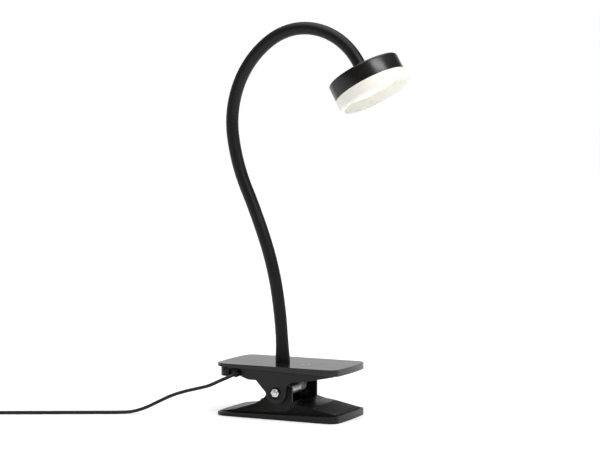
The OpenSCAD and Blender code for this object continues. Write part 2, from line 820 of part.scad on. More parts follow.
module plug_shell() {
    color(steel) at_plug() translate([relief_h + grip_l + 0.04, 0, 0]) difference() {
        translate([0, -6, -2.25]) cube([shell_l, 12, 4.5]);
        translate([0.5, -5.7, -0.1]) cube([shell_l, 11.4, 2.05]);
    }
}

upper_jaw();
top_cover();
cover_screws();
upper_pad();
touch_board();
board_parts();
touch_contact();
cord_bush();
cord_clip();
clip_screws();
cord_lead();
pivot_bolt();
pivot_nut();
pivot_washers();
spring_bush();
jaw_spring();
lower_jaw();
lower_plate();
lower_screws();
lower_pad();
neck_foot_ferrule();
neck_foot_nut();
neck_foot_collar();
neck_core_0();
neck_core_1();
neck_core_2();
neck_core_3();
neck_core_4();
neck_core_5();
neck_core_6();
neck_core_7();
neck_core_8();
neck_sleeve_1();
neck_sleeve_2();
neck_sleeve_3();
neck_sleeve_4();
neck_sleeve_5();
neck_sleeve_6();
neck_sleeve_7();
neck_sleeve_8();
neck_crown_collar();
neck_crown_ferrule();
neck_crown_nut();
head_cap();
heat_sink();
heat_sink_screws();
led_board();
led_chips();
light_panel();
light_ring();
cord();
cord_coil();
cord_end();
plug_relief();
plug_grip();
plug_shell();
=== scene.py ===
"""Clip-on reading lamp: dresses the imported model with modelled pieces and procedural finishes."""
import logging
import math
from dataclasses import dataclass, field
from enum import Enum
from typing import Any, Callable, Sequence

import bmesh
import bpy
from mathutils import Matrix, Vector


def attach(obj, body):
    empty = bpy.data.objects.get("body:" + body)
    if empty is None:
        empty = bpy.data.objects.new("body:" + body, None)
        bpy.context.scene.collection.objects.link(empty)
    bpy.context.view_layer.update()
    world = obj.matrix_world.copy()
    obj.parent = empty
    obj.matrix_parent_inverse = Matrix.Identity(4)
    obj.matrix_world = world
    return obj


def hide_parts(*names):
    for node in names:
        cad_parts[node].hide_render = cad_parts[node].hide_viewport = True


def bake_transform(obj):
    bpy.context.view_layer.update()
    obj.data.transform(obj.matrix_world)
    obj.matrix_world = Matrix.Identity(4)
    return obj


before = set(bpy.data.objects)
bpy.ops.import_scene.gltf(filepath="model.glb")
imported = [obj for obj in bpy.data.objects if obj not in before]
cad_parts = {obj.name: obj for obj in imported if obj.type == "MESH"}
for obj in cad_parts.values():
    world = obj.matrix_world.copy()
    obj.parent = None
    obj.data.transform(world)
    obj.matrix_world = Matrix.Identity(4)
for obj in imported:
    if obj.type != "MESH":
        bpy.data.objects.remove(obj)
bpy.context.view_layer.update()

MM = 0.001
LOG = logging.getLogger("lamp")

Point = tuple[float, float, float]
Colour = tuple[float, float, float]
Profile = Sequence[tuple[float, float]]


class Body(Enum):
    """Rigid bodies of the frame that pieces ride on."""

    CLAMP = "clamp_top"
    JAW = "clamp_jaw"
    HEAD = "head"


class Part(Enum):
    """Kinds of element selected in edit mode."""

    VERT = "VERT"
    EDGE = "EDGE"
    FACE = "FACE"


# ---- shader maths ----
class Value:
    """A shader socket whose operators add Math nodes."""

    def __init__(self, tree: "Surface", socket: Any) -> None:
        """Wraps a socket.

        Args:
            tree: the surface whose nodes hold the socket.
            socket: the output socket.
        """
        self.tree = tree
        self.socket = socket

    def maths(self, operation: str, a: Any, b: Any = 0.0) -> "Value":
        """Adds one Math node.

        Args:
            operation: the Math node's operation.
            a: first value or number.
            b: second value or number.

        Returns:
            The node's output.
        """
        return self.tree.node("ShaderNodeMath", {"operation": operation}, {0: a, 1: b})

    def __add__(self, other: Any) -> "Value":
        """Sum."""
        return self.maths("ADD", self, other)

    __radd__ = __add__

    def __mul__(self, other: Any) -> "Value":
        """Product."""
        return self.maths("MULTIPLY", self, other)

    __rmul__ = __mul__

    def __sub__(self, other: Any) -> "Value":
        """Difference."""
        return self.maths("SUBTRACT", self, other)

    def __rsub__(self, other: Any) -> "Value":
        """Difference from a number."""
        return self.maths("SUBTRACT", other, self)

    def __lt__(self, other: Any) -> "Value":
        """1 where this is less than the other."""
        return self.maths("LESS_THAN", self, other)

    def __gt__(self, other: Any) -> "Value":
        """1 where this is greater than the other."""
        return self.maths("GREATER_THAN", self, other)

    def __abs__(self) -> "Value":
        """Size without sign."""
        return self.maths("ABSOLUTE", self)

    def root(self) -> "Value":
        """Square root."""
        return self.maths("SQRT", self)

    def wave(self) -> "Value":
        """Sine."""
        return self.maths("SINE", self)

    def clamped(self) -> "Value":
        """Held between 0 and 1."""
        return self.tree.node("ShaderNodeClamp", {}, {0: self})


class Surface:
    """A procedural material with one Principled shader."""

    def __init__(self, name: str, seed: float = 0.0) -> None:
        """Makes the empty material.

        Args:
            name: the material's name.
            seed: offset of its noises.
        """
        self.material = bpy.data.materials.new(name)
        self.material.use_nodes = True
        self.nodes = self.material.node_tree.nodes
        self.links = self.material.node_tree.links
        self.shader = self.nodes["Principled BSDF"]
        self.seed = seed
        self.place = Value(self, self.nodes.new("ShaderNodeTexCoord").outputs["Object"])
        self.colour: Value | None = None
        self.rough: Value | None = None

    def node(self, kind: str, settings: dict[str, Any], inputs: dict[Any, Any], out: Any = 0) -> Value:
        """Adds any node.

        Args:
            kind: the node's type.
            settings: attributes, set first; "stops" fills a colour ramp.
            inputs: socket name or number to a value, number, tuple or Value.
            out: the output wanted.

        Returns:
            The output as a Value.
        """
        made = self.nodes.new(kind)
        for key, setting in settings.items():
            if key == "stops":
                ramp = made.color_ramp.elements
                while len(ramp) < len(setting):
                    ramp.new(0.5)
                for element, (at, shade) in zip(ramp, setting):
                    element.position = at
                    element.color = (*shade, 1.0)
            else:
                setattr(made, key, setting)
        for key, given in inputs.items():
            self.feed(made.inputs[key], given)
        return Value(self, made.outputs[out])

    def feed(self, socket: Any, given: Any) -> None:
        """Links or sets one socket.

        Args:
            socket: the input socket.
            given: a Value, number or tuple.
        """
        if isinstance(given, Value):
            self.links.new(given.socket, socket)
        elif isinstance(given, tuple) and socket.type == "RGBA":
            socket.default_value = (*given, 1.0)
        else:
            socket.default_value = given

    def set(self, **inputs: Any) -> "Surface":
        """Feeds the Principled shader; names use _ for spaces.

        Returns:
            This surface.
        """
        for key, given in inputs.items():
            self.feed(self.shader.inputs[key.replace("_", " ")], given)
        return self

    def noise(self, scale: float, detail: float = 3.0, stretch: Point = (1, 1, 1),
              roughness: float = 0.5) -> Value:
        """Noise on the object's own coordinates.

        Args:
            scale: features per metre.
            detail: octaves.
            stretch: scale along each axis.
            roughness: weight of the finer octaves.

        Returns:
            The noise, around 0.5.
        """
        at = self.node("ShaderNodeMapping", {}, {"Vector": self.place, "Scale": stretch,
                                                 "Location": (self.seed, self.seed * 0.7, 0.0)})
        return self.node("ShaderNodeTexNoise", {}, {"Vector": at, "Scale": scale, "Detail": detail,
                                                    "Roughness": roughness})

    def axis(self, letter: str) -> Value:
        """One coordinate of the surface point, in metres."""
        return self.node("ShaderNodeSeparateXYZ", {}, {0: self.place}, letter)

    def mix(self, amount: Any, a: Any, b: Any) -> Value:
        """Mixes two colours.

        Args:
            amount: 0 for a, 1 for b.
            a: first colour.
            b: second colour.

        Returns:
            The mixed colour.
        """
        return self.node("ShaderNodeMix", {"data_type": "RGBA"}, {0: amount, 6: a, 7: b}, 2)

    def ramp(self, amount: Value, low: float, high: float) -> Value:
        """Stretches a value so that low becomes 0 and high becomes 1."""
        return self.node("ShaderNodeMapRange", {}, {0: amount, 1: low, 2: high})

    def bump(self, height: Value, distance: float, strength: float = 1.0) -> "Surface":
        """Feeds a height in metres times distance to the shader's normal.

        Args:
            height: the height, 0 to 1.
            distance: metres per unit.
            strength: share of the effect.

        Returns:
            This surface.
        """
        self.set(Normal=self.node("ShaderNodeBump", {}, {"Strength": strength, "Distance": distance,
                                                         "Height": height}))
        return self


# ---- finishes ----
class Finish:
    """What a piece is made of and how it is finished."""

    def surface(self) -> Surface:
        """Builds the surface."""
        raise NotImplementedError

    def material(self) -> bpy.types.Material:
        """Builds the surface and gives its material."""
        return self.surface().material


@dataclass(frozen=True)
class Moulded(Finish):
    """Satin moulded plastic or soft rubber with grain, mottling, dust and fine scuffs."""

    name: str
    colour: Colour
    light: Colour
    rough: float
    grain: float = 2600.0
    grain_depth: float = 0.000012
    dust: float = 0.25
    specular: float = 0.5
    streak: Point = (1, 1, 1)
    seed: float = 0.0

    def surface(self) -> Surface:
        """Builds the material.

        Returns:
            The surface, so that callers may add a mark.
        """
        s = Surface(self.name, self.seed)
        cloud = s.noise(38.0, 4.0, self.streak)
        grain = s.noise(self.grain, 2.0)
        speck = s.ramp(s.noise(900.0, 2.0), 0.70, 0.78)
        scuff = s.ramp(s.noise(150.0, 5.0, (1.0, 7.0, 1.0), 0.65), 0.62, 0.80)
        worn = (speck * self.dust + scuff * 0.25 + (cloud - 0.5) * 0.5).clamped()
        s.colour = s.mix(worn, self.colour, self.light)
        s.rough = (self.rough + (cloud - 0.5) * 0.12 + scuff * 0.08 + speck * 0.1).clamped()
        s.set(Base_Color=s.colour, Roughness=s.rough)
        s.shader.inputs["Specular IOR Level"].default_value = self.specular
        return s.bump(grain + cloud * 0.6, self.grain_depth)


@dataclass(frozen=True)
class Metal(Finish):
    """Bare or plated metal with fine machining marks and tarnish."""

    name: str
    colour: Colour
    dark: Colour
    rough: float
    marks: Point = (1, 1, 12)
    seed: float = 3.0

    def surface(self) -> Surface:
        """Builds the material."""
        s = Surface(self.name, self.seed)
        lines = s.noise(1400.0, 3.0, self.marks)
        stain = s.ramp(s.noise(220.0, 4.0), 0.45, 0.75)
        s.set(Base_Color=s.mix(stain * 0.5, self.colour, self.dark), Metallic=1.0,
              Roughness=(self.rough + lines * 0.14 + stain * 0.12).clamped())
        return s.bump(lines, 0.000008)


@dataclass(frozen=True)
class Opal(Finish):
    """Milky translucent plastic."""

    name: str
    colour: Colour
    deep: Colour
    rough: float
    inner: float
    glow: float = 0.0

    def surface(self) -> Surface:
        """Builds the material."""
        s = Surface(self.name, 5.0)
        cloud = s.noise(60.0, 3.0)
        frost = s.noise(3200.0, 2.0)
        s.set(Base_Color=s.mix(s.ramp(cloud, 0.3, 0.7) * 0.35, self.colour, self.deep),
              Roughness=(self.rough + (frost - 0.5) * 0.1 + (cloud - 0.5) * 0.1).clamped())
        s.shader.inputs["Subsurface Weight"].default_value = self.inner
        s.shader.inputs["Subsurface Radius"].default_value = (0.004, 0.0038, 0.0034)
        s.shader.inputs["Subsurface Scale"].default_value = 1.0
        if self.glow:
            s.shader.inputs["Emission Color"].default_value = (*self.colour, 1.0)
            s.shader.inputs["Emission Strength"].default_value = self.glow
        return s.bump(frost, 0.000010)


class Finishes:
    """Every material of the lamp, made once."""

    def __init__(self) -> None:
        """Builds the materials."""
        self.plastic = Moulded("satin_black_plastic", (0.0068, 0.0066, 0.0062), (0.019, 0.019, 0.018),
                               0.34, dust=0.3, specular=0.22).material()
        self.plate = self.marked_plate()
        self.cap = Moulded("black_painted_cap", (0.0075, 0.0068, 0.0055), (0.020, 0.0185, 0.016), 0.28,
                           grain=3400.0, grain_depth=0.000008, dust=0.2, specular=0.34,
                           seed=1.0).material()
        self.sleeve = Moulded("silicone_sleeve", (0.0052, 0.0052, 0.0058), (0.017, 0.017, 0.019), 0.45,
                              grain=3000.0, grain_depth=0.000010, dust=0.35, specular=0.22,
                              seed=2.0).material()
        self.collar = Moulded("sleeve_rubber_collar", (0.0052, 0.0052, 0.0058), (0.017, 0.017, 0.019), 0.45,
                              specular=0.22, seed=2.0).material()
        self.pad = self.ribbed_pad()
        self.cord = Moulded("cord_jacket", (0.006, 0.006, 0.0062), (0.018, 0.018, 0.018), 0.52,
                            specular=0.3, seed=4.0).material()
        self.bush = Moulded("strain_relief_rubber", (0.004, 0.004, 0.0042), (0.014, 0.014, 0.015), 0.5,
                            specular=0.25, seed=6.0).material()
        self.nylon = Moulded("natural_nylon", (0.62, 0.60, 0.54), (0.74, 0.73, 0.68), 0.4,
                             seed=7.0).material()
        self.bright = Metal("bright_plated_steel", (0.62, 0.62, 0.61), (0.32, 0.31, 0.30), 0.2).material()
        self.steel = Metal("zinc_plated_steel", (0.60, 0.60, 0.62), (0.36, 0.35, 0.34), 0.26).material()
        self.brass = Metal("turned_brass", (0.80, 0.62, 0.30), (0.45, 0.33, 0.16), 0.22).material()
        self.alu = Metal("bare_aluminium", (0.84, 0.84, 0.86), (0.62, 0.62, 0.63), 0.3, (1, 9, 1)).material()
        self.board = self.printed("green_circuit_board", (0.012, 0.11, 0.045), (0.02, 0.19, 0.08))
        self.white_board = self.printed("white_circuit_board", (0.78, 0.78, 0.77), (0.86, 0.86, 0.85))
        self.package = Moulded("chip_packages", (0.012, 0.012, 0.013), (0.03, 0.03, 0.03), 0.5,
                               seed=8.0).material()
        self.phosphor = Opal("phosphor", (0.92, 0.72, 0.16), (0.85, 0.62, 0.10), 0.4, 0.0).material()
        self.ring = Opal("frosted_ring", (0.78, 0.768, 0.705), (0.74, 0.725, 0.66), 0.40, 0.15,
                         0.05).material()
        self.panel = Opal("milky_panel", (0.82, 0.82, 0.79), (0.80, 0.80, 0.77), 0.42, 0.15,
                          0.22).material()

    @staticmethod
    def marked_plate() -> bpy.types.Material:
        """Satin plate with a faint touch mark: an open ring with a short bar."""
        s = Moulded("satin_black_plate", (0.0062, 0.0058, 0.0052), (0.026, 0.0245, 0.022), 0.17,
                    grain_depth=0.000005, dust=0.35, specular=0.31, streak=(0.4, 1.6, 1.0)).surface()
        s.shader.inputs["Specular Tint"].default_value = (1.0, 0.985, 0.955, 1.0)
        mark_x, mark_y, plate_top = 31.0 * MM, -9.0 * MM, 53.6 * MM
        ring_r, stroke, opening = 4.0 * MM, 0.45 * MM, 1.5 * MM
        bar_mid, bar_half = 3.4 * MM, 2.0 * MM
        x = s.axis("X") - mark_x
        y = s.axis("Y") - mark_y
        top = s.axis("Z") > plate_top
        away = (x * x + y * y).root()
        ring = (abs(away - ring_r) < stroke) * (1.0 - (abs(y) < opening) * (x > 0.0))
        bar = (abs(y) < stroke) * (abs(x - bar_mid) < bar_half)
        mark = (ring + bar).clamped() * top
        s.set(Base_Color=s.mix(mark * 0.8, s.colour, (0.30, 0.30, 0.31)),
              Roughness=(s.rough + mark * 0.15).clamped())
        return s.material

    @staticmethod
    def ribbed_pad() -> bpy.types.Material:
        """Grip rubber with fine ribs across the jaw."""
        rib_pitch = 2.0 * MM
        s = Moulded("grip_pad_rubber", (0.014, 0.014, 0.015), (0.04, 0.04, 0.042), 0.62, seed=9.0).surface()
        ribs = (s.axis("X") * (2 * math.pi / rib_pitch)).wave() * 0.5 + 0.5
        return s.bump(ribs, 0.0003, 0.8).material

    @staticmethod
    def printed(name: str, ground: Colour, trace: Colour) -> bpy.types.Material:
        """Circuit board with faint tracks.

        Args:
            name: the material's name.
            ground: colour of the mask.
            trace: colour over copper.

        Returns:
            The material.
        """
        s = Surface(name, 11.0)
        cells = s.node("ShaderNodeTexVoronoi", {"distance": "MANHATTAN"}, {"Vector": s.place, "Scale": 420.0})
        tracks = s.ramp(cells, 0.45, 0.5)
        s.set(Base_Color=s.mix(tracks, ground, trace), Roughness=(0.3 + tracks * 0.15).clamped())
        return s.bump(tracks, 0.00003).material


# ---- modelling by operators ----
class Bench:
    """Edit-mode modelling of one new piece."""

    def __init__(self, name: str) -> None:
        """Starts a piece.

        Args:
            name: the piece's name.
        """
        self.name = name
        self.piece: bpy.types.Object | None = None

    @staticmethod
    def clear() -> None:
        """Leaves edit mode and deselects everything."""
        if bpy.context.object and bpy.context.object.mode != "OBJECT":
            bpy.ops.object.mode_set(mode="OBJECT")
        bpy.ops.object.select_all(action="DESELECT")

    def hold(self) -> None:
        """Leaves edit mode with only this piece selected and active."""
        self.clear()
        self.piece.select_set(True)
        bpy.context.view_layer.objects.active = self.piece

    def place(self, where: Matrix) -> "Bench":
        """Settles the piece's mesh, then moves the piece by a matrix."""
        self.hold()
        bpy.ops.object.transform_apply(location=True, rotation=True, scale=True)
        self.piece.matrix_world = where
        return self

    def adopt(self) -> "Bench":
        """Names the object that an operator has just made and enters edit mode."""
        self.piece = bpy.context.object
        self.piece.name = self.name
        self.piece.data.name = self.name
        bpy.ops.object.mode_set(mode="EDIT")
        return self

    def circle(self, radius: float, at: Point, count: int = 96, turn: Point = (0, 0, 0)) -> "Bench":
        """Starts from an open circle of edges."""
        self.clear()
        bpy.ops.mesh.primitive_circle_add(vertices=count, radius=radius, location=at, rotation=turn)
        return self.adopt()

    def block(self, size: Point, at: Point) -> "Bench":
        """Starts from a block."""
        self.clear()
        bpy.ops.mesh.primitive_cube_add(size=1.0, location=at)
        self.adopt()
        bpy.ops.transform.resize(value=size, center_override=at)
        return self

    def pick(self, part: Part, test: Callable[[Any], bool]) -> "Bench":
        """Selects the elements that pass a test.

        Args:
            part: the kind of element.
            test: takes a bmesh element.

        Returns:
            This bench.
        """
        bpy.ops.mesh.select_mode(type=part.value)
        bpy.ops.mesh.select_all(action="DESELECT")
        mesh = bmesh.from_edit_mesh(self.piece.data)
        for element in {Part.VERT: mesh.verts, Part.EDGE: mesh.edges, Part.FACE: mesh.faces}[part]:
            if test(element):
                element.select_set(True)
        mesh.select_flush_mode()
        bmesh.update_edit_mesh(self.piece.data)
        return self

    def tidy(self) -> "Bench":
        """Merges doubles and turns every face outwards."""
        bpy.ops.mesh.select_mode(type="VERT")
        bpy.ops.mesh.select_all(action="SELECT")
        bpy.ops.mesh.remove_doubles(threshold=0.000002)
        bpy.ops.mesh.normals_make_consistent(inside=False)
        return self

    def modifier(self, kind: str, **settings: Any) -> "Bench":
        """Adds and applies one modifier."""
        self.hold()
        added = self.piece.modifiers.new(kind.lower(), kind)
        for key, setting in settings.items():
            setattr(added, key, setting)
        bpy.ops.object.modifier_apply(modifier=added.name)
        return self

    def eased(self, width: float, segments: int = 3, angle: float = 35.0) -> "Bench":
        """Rounds the edges sharper than an angle."""
        return self.modifier("BEVEL", width=width, segments=segments, limit_method="ANGLE",
                             angle_limit=math.radians(angle), use_clamp_overlap=True, harden_normals=False)

    def seated(self, height: float) -> "Bench":
        """Flattens what lies under a height onto that height."""
        self.hold()
        bpy.ops.object.transform_apply(location=True, rotation=True, scale=True)
        bpy.ops.object.mode_set(mode="EDIT")
        self.pick(Part.VERT, lambda v: v.co.z < height)
        bpy.ops.transform.resize(value=(1, 1, 0), center_override=(0, 0, height))
        return self

    def done(self, finish: bpy.types.Material, smooth: float = 40.0) -> bpy.types.Object:
        """Leaves edit mode, settles the place in the mesh and dresses the piece.

        Args:
            finish: its material.
            smooth: angle under which faces shade smooth.

        Returns:
            The finished object.
        """
        self.hold()
        bpy.ops.object.transform_apply(location=True, rotation=True, scale=True)
        bpy.ops.object.shade_smooth_by_angle(angle=math.radians(smooth))
        self.piece.data.materials.clear()
        self.piece.data.materials.append(finish)
        return self.piece


def turned(name: str, profile: Profile, count: int = 96, closed: bool = False) -> Bench:
    """Models a round piece about the Z axis by extruding and scaling a circle along a profile.

    Args:
        name: the piece's name.
        profile: radius and height of each ring, in millimetres.
        count: points round a ring.
        closed: whether the last ring joins the first; otherwise both ends are filled.

    Returns:
        The bench, in edit mode.
    """
    radius, height = profile[0]
    bench = Bench(name).circle(radius * MM, (0, 0, height * MM), count)
    bpy.ops.mesh.select_all(action="SELECT")
    steps = list(profile[1:]) + ([profile[0]] if closed else [])
    if not closed:
        bpy.ops.mesh.edge_face_add()
        bench.pick(Part.EDGE, lambda e: True)
    for r, z in steps:
        bpy.ops.mesh.extrude_edges_move(TRANSFORM_OT_translate={"value": (0, 0, (z - height) * MM)})
        bpy.ops.transform.resize(value=(r / radius, r / radius, 1), center_override=(0, 0, z * MM))
        radius, height = r, z
    if not closed:
        bpy.ops.mesh.edge_face_add()
    return bench.tidy()


def rounded(points: Profile, radii: dict[int, float], steps: int = 5) -> list[tuple[float, float]]:
    """Rounds the named corners of a profile.

    Args:
        points: corners as radius and height.
        radii: corner number to its rounding.
        steps: points per rounding.

    Returns:
        The denser profile.
    """
    made: list[tuple[float, float]] = []
    for i, corner in enumerate(points):
        if i not in radii:
            made.append(corner)
            continue
        here = Vector(corner)
        before = (Vector(points[i - 1]) - here).normalized() * radii[i]
        after = (Vector(points[(i + 1) % len(points)]) - here).normalized() * radii[i]
        for j in range(steps + 1):
            t = j / steps
            p = here + before * (1 - t) ** 2 + after * t ** 2
            made.append((p.x, p.y))
    return made


def eased_copy(node: str, name: str, finish: bpy.types.Material, width: float, segments: int = 2,
               angle: float = 35.0, flat: bool = False) -> bpy.types.Object:
    """Merges a copy of a node and rounds its edges.

    Args:
        node: the node that it stands for.
        name: the new piece's name.
        finish: its material.
        width: width of the rounding, in millimetres.
        segments: faces across it.
        angle: edges sharper than this, in degrees, are rounded.
        flat: whether the large faces keep their own direction when shaded.

    Returns:
        The new piece.
    """
    Bench.clear()
    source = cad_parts[node]
    piece = bpy.data.objects.new(name, source.data.copy())
    bpy.context.scene.collection.objects.link(piece)
    piece.select_set(True)
    bpy.context.view_layer.objects.active = piece
    bench = Bench(name).adopt()
    bpy.ops.mesh.select_all(action="SELECT")
    bpy.ops.mesh.remove_doubles(threshold=0.000004)
    bpy.ops.mesh.dissolve_limited(angle_limit=math.radians(0.6))
    bench.eased(width * MM, segments, angle)
    made = bench.done(finish)
    if flat:
        bench.modifier("WEIGHTED_NORMAL", keep_sharp=True)
    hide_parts(node)
    return made


def settle(piece: bpy.types.Object, body: Body | str) -> bpy.types.Object:
    """Rides the piece on its body and reports it.

    Args:
        piece: the finished piece.
        body: the body that it moves with.

    Returns:
        The piece.
    """
    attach(piece, body.value if isinstance(body, Body) else body)
    LOG.info("%s on %s: %d faces", piece.name, body, len(piece.data.polygons) if piece.type == "MESH" else 0)
    return piece


def dress(finish: bpy.types.Material, *nodes: str) -> None:
    """Gives frame nodes a better material.

    Args:
        finish: the material.
        nodes: the nodes.
    """
    for node in nodes:
        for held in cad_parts[node].material_slots:
            held.material = finish
        LOG.info("%s dressed in %s", node, finish.name)


# ---- studio ----
@dataclass
class Studio:
    """Camera, lights, pale floor and bright surroundings."""

    eye: Point = (0.8118, -1.6534, 0.3085)
    azimuth: float = 25.6
    pitch: float = 3.513
    lens: float = 108.0
    floor_size: float = 14.0
    floor_gap: float = 0.0002

    def camera(self) -> None:
        """Adds the camera."""
        data = bpy.data.cameras.new("camera")
        data.lens, data.sensor_width = self.lens, 36.0
        data.clip_start, data.clip_end = 0.05, 60.0
        shot = bpy.data.objects.new("camera", data)
        bpy.context.scene.collection.objects.link(shot)
        shot.location = self.eye
        shot.rotation_euler = (math.radians(90 - self.pitch), 0, math.radians(self.azimuth))
        bpy.context.scene.camera = shot

    def floor(self) -> None:
        """Adds the pale floor."""
        Bench.clear()
        bpy.ops.mesh.primitive_plane_add(size=self.floor_size, location=(0, 0, -self.floor_gap))
        ground = bpy.context.object
        ground.name = "floor"
        s = Surface("pale_floor")
        s.set(Base_Color=s.mix(s.noise(3.0), (0.93, 0.93, 0.93), (0.95, 0.95, 0.95)), Roughness=0.7)
        s.shader.inputs["Specular IOR Level"].default_value = 0.1
        ground.data.materials.append(s.material)

    def lamp(self, name: str, size: float, power: float, at: Point, aim: Point, tall: float) -> None:
        """Adds one soft box.

        Args:
            name: the light's name.
            size: its width in metres.
            power: watts.
            at: its place.
            aim: the point that it faces.
            tall: its height in metres.
        """
        data = bpy.data.lights.new(name, "AREA")
        data.energy, data.size = power, size
        data.shape, data.size_y = "RECTANGLE", tall
        light = bpy.data.objects.new(name, data)
        bpy.context.scene.collection.objects.link(light)
        light.location = at
        light.rotation_euler = (Vector(aim) - Vector(at)).to_track_quat("-Z", "Y").to_euler()

    def surroundings(self) -> None:
        """Makes the surroundings: white to the eye, brighter above and behind the lamp."""
        world = bpy.data.worlds.new("surroundings")
        bpy.context.scene.world = world
        world.use_nodes = True
        tree = world.node_tree

        def node(kind: str, operation: str, *given: Any) -> bpy.types.Node:
            """Adds a node, sets its operation and feeds its sockets in order."""
            made = tree.nodes.new(kind)
            if operation:
                made.operation = operation
            for socket, value in zip(made.inputs, given):
                if isinstance(value, bpy.types.NodeSocket):
                    tree.links.new(value, socket)
                else:
                    socket.default_value = value
            return made

        a = math.radians(self.azimuth)
        way = node("ShaderNodeTexCoord", "").outputs["Generated"]
        height = node("ShaderNodeSeparateXYZ", "", way).outputs["Z"]
        ahead = (-math.sin(a), math.cos(a), 0)
        behind = node("ShaderNodeVectorMath", "DOT_PRODUCT", way, ahead).outputs["Value"]
        low = node("ShaderNodeMapRange", "", height, 0.20, 0.38, 1.0, 0.0).outputs[0]
        wall = node("ShaderNodeMapRange", "", behind, -0.2, 0.55, 0.02, 0.78).outputs[0]
        sky = node("ShaderNodeMapRange", "", height, 0.45, 0.95, 0.02, 0.95).outputs[0]
        lit = node("ShaderNodeMath", "MULTIPLY", low, wall).outputs[0]
        lit = node("ShaderNodeMath", "ADD", lit, sky).outputs[0]
        seen = node("ShaderNodeLightPath", "").outputs["Is Camera Ray"]
        back = tree.nodes["Background"]
        tree.links.new(node("ShaderNodeMath", "MAXIMUM", seen, lit).outputs[0], back.inputs["Strength"])
        back.inputs["Color"].default_value = (1, 1, 1, 1)

    def build(self) -> None:
        """Sets the whole studio."""
        self.camera()
        self.floor()
        self.surroundings()
        self.lamp("right_softbox", 1.2, 21.0, (1.50, -0.60, 1.59), (0.09, 0, 0.34), 0.16)
        self.lamp("left_strip", 0.35, 1.0, (-1.9, -0.5, 0.9), (0, 0, 0.2), 1.6)
        fill = bpy.data.lights.new("even_fill", "SUN")
        fill.energy, fill.angle = 2.2, math.radians(70)
        high = bpy.data.objects.new("even_fill", fill)
        bpy.context.scene.collection.objects.link(high)
        view = bpy.context.scene.view_settings
        view.view_transform = "Standard"


